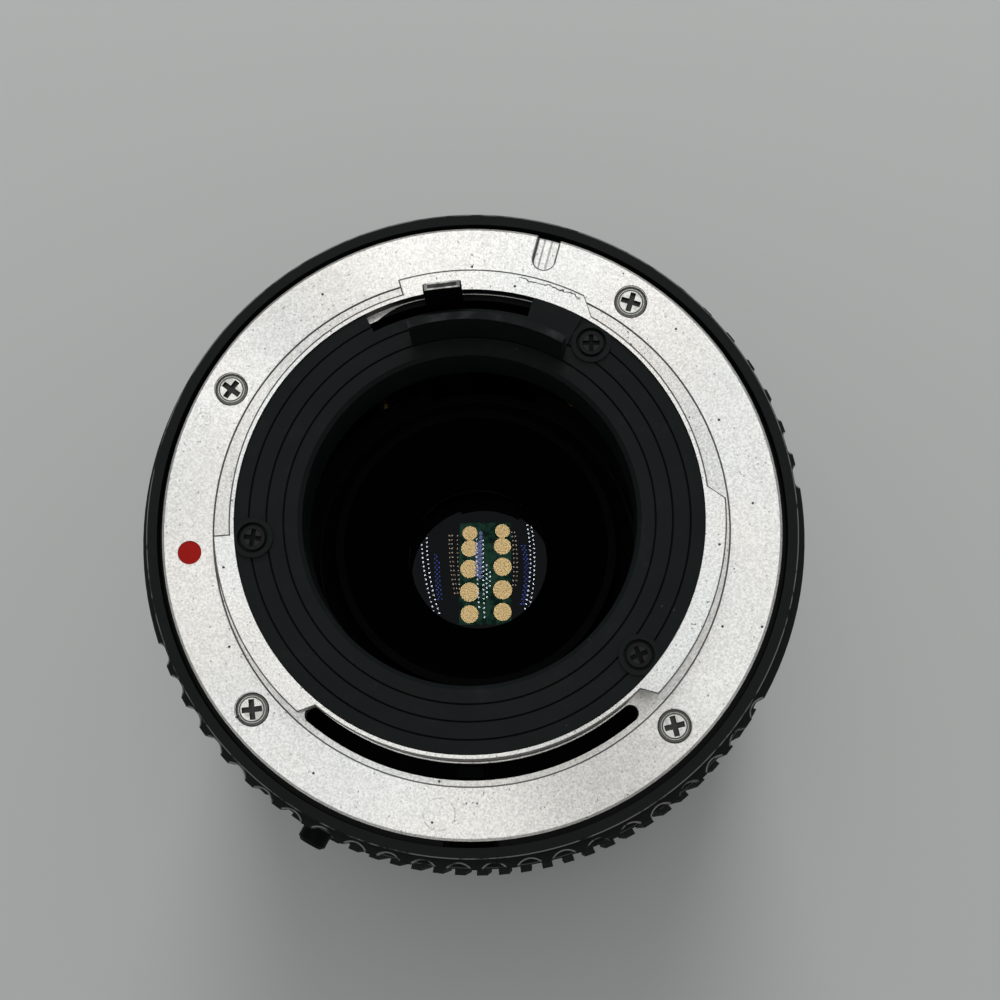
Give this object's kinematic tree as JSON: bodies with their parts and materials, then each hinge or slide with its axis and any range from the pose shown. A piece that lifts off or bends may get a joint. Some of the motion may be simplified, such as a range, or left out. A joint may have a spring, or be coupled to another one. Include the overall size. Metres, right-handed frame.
{
  "type": "camera zoom lens",
  "caption": "Manual zoom lens with bayonet mount, aperture ring, zoom and focus rings, iris and filter thread.",
  "frame": {"origin": "centre of the front rim, on the surface that the lens stands on", "axes": "+Z along the optical axis towards the mount, angles seen from the mount as pictured"},
  "size_m": [0.0666, 0.0666, 0.0871],
  "materials": {
    "mount_metal": "satin, bead grained",
    "steel": "bright",
    "black_steel": "satin",
    "red_paint": "satin",
    "black_paint": "matt",
    "black_anodised": "satin black",
    "aluminium": "turned",
    "brass": "turned",
    "rubber": "matt",
    "glass": "coated"
  },
  "bodies": {
    "barrel": {"main_barrel": "black_anodised", "barrel_front_ring": "black_anodised", "guide_tube": "aluminium", "guide_tube_screws": "steel", "cam_retaining_ring": "aluminium", "bayonet_mount": "mount_metal", "mount_screws": "steel", "alignment_dot": "red_paint", "rear_baffle": "black_paint", "baffle_screws": "black_steel", "click_ball": "steel", "click_spring": "steel"},
    "zoom": {"zoom_ring": "black_anodised", "zoom_grip": "rubber", "zoom_key": "steel", "cam_barrel": "aluminium", "button_cap": "steel", "macro_button_spring": "steel"},
    "button": {"macro_button": "black_anodised"},
    "front_slider": {"front_tube": "black_anodised", "front_follower_pins": "brass", "focus_retaining_ring": "black_anodised"},
    "focus": {"focus_ring": "black_anodised", "focus_grip": "rubber"},
    "front_group": {"front_cell": "black_anodised", "front_trim_ring": "black_paint", "focus_keys": "steel", "front_element_1": "glass", "front_element_2": "glass", "front_element_3": "glass"},
    "rear_group": {"rear_cell": "black_anodised", "rear_follower_pins": "brass", "rear_spacers": "black_anodised", "rear_light_hood": "black_paint", "iris_housing": "black_anodised", "rear_element_1": "glass", "rear_element_2": "glass", "rear_element_3": "glass", "rear_element_4": "glass"},
    "iris_drive": {"iris_drive_ring": "black_steel"},
    "lever": {"stop_down_lever": "black_steel"},
    "aperture": {"aperture_ring": "black_anodised", "aperture_coupler": "black_steel", "coupler_screws": "steel"},
    "blade_1": {"iris_blade_1": "black_steel"},
    "blade_2": {"iris_blade_2": "black_steel"},
    "blade_3": {"iris_blade_3": "black_steel"},
    "blade_4": {"iris_blade_4": "black_steel"},
    "blade_5": {"iris_blade_5": "black_steel"},
    "blade_6": {"iris_blade_6": "black_steel"}
  },
  "joints": [
    {"name": "zoom_turn", "type": "hinge", "parent": "barrel", "child": "zoom", "pos_m": [0, 0, 0.049], "axis": [0, 0, 1], "range_deg": [0, 65]},
    {"name": "front_slide", "type": "slide", "parent": "barrel", "child": "front_slider", "axis": [0, 0, 1], "range_m": [0, 0.0115]},
    {"name": "rear_slide", "type": "slide", "parent": "barrel", "child": "rear_group", "axis": [0, 0, 1], "range_m": [0, 0.008]},
    {"name": "focus_turn", "type": "hinge", "parent": "front_slider", "child": "focus", "pos_m": [0, 0, 0.012], "axis": [0, 0, 1], "range_deg": [0, 140]},
    {"name": "focus_slide", "type": "slide", "parent": "focus", "child": "front_group", "axis": [0, 0, 1], "range_m": [0, 0.004]},
    {"name": "aperture_turn", "type": "hinge", "parent": "barrel", "child": "aperture", "pos_m": [0, 0, 0.071], "axis": [0, 0, 1], "range_deg": [-24, 24]},
    {"name": "lever_turn", "type": "hinge", "parent": "barrel", "child": "lever", "pos_m": [0, 0, 0.072], "axis": [0, 0, 1], "range_deg": [-16, 0], "stiffness_Nm_per_rad": 0.01, "springref_deg": 17.19},
    {"name": "iris_turn", "type": "hinge", "parent": "rear_group", "child": "iris_drive", "pos_m": [0, 0, 0.041], "axis": [0, 0, 1], "range_deg": [-16, 0]},
    {"name": "button_press", "type": "slide", "parent": "zoom", "child": "button", "axis": [0.4879, 0.8729, 0], "range_m": [0, 0.0008], "stiffness_N_per_m": 600, "springref_m": -0.0008, "deforming": ["macro_button_spring"]},
    {"name": "blade_turn_1", "type": "hinge", "parent": "rear_group", "child": "blade_1", "pos_m": [0.0142, 0, 0.0398], "axis": [0, 0, 1], "range_deg": [-24, 0]},
    {"name": "blade_turn_2", "type": "hinge", "parent": "rear_group", "child": "blade_2", "pos_m": [0.0071, 0.0123, 0.0398], "axis": [0, 0, 1], "range_deg": [-24, 0]},
    {"name": "blade_turn_3", "type": "hinge", "parent": "rear_group", "child": "blade_3", "pos_m": [-0.0071, 0.0123, 0.0398], "axis": [0, 0, 1], "range_deg": [-24, 0]},
    {"name": "blade_turn_4", "type": "hinge", "parent": "rear_group", "child": "blade_4", "pos_m": [-0.0142, 0, 0.0398], "axis": [0, 0, 1], "range_deg": [-24, 0]},
    {"name": "blade_turn_5", "type": "hinge", "parent": "rear_group", "child": "blade_5", "pos_m": [-0.0071, -0.0123, 0.0398], "axis": [0, 0, 1], "range_deg": [-24, 0]},
    {"name": "blade_turn_6", "type": "hinge", "parent": "rear_group", "child": "blade_6", "pos_m": [0.0071, -0.0123, 0.0398], "axis": [0, 0, 1], "range_deg": [-24, 0]}
  ],
  "couplings": [
    {"joint": "zoom_turn", "follows": "front_slide", "rad_per_m": 98.649},
    {"joint": "rear_slide", "follows": "front_slide", "ratio": 0.69565},
    {"joint": "focus_turn", "follows": "focus_slide", "rad_per_m": 610.87},
    {"joint": "iris_turn", "follows": "lever_turn", "ratio": 1},
    {"joint": "blade_turn_1", "follows": "lever_turn", "ratio": 1.5},
    {"joint": "blade_turn_2", "follows": "lever_turn", "ratio": 1.5},
    {"joint": "blade_turn_3", "follows": "lever_turn", "ratio": 1.5},
    {"joint": "blade_turn_4", "follows": "lever_turn", "ratio": 1.5},
    {"joint": "blade_turn_5", "follows": "lever_turn", "ratio": 1.5},
    {"joint": "blade_turn_6", "follows": "lever_turn", "ratio": 1.5}
  ]
}
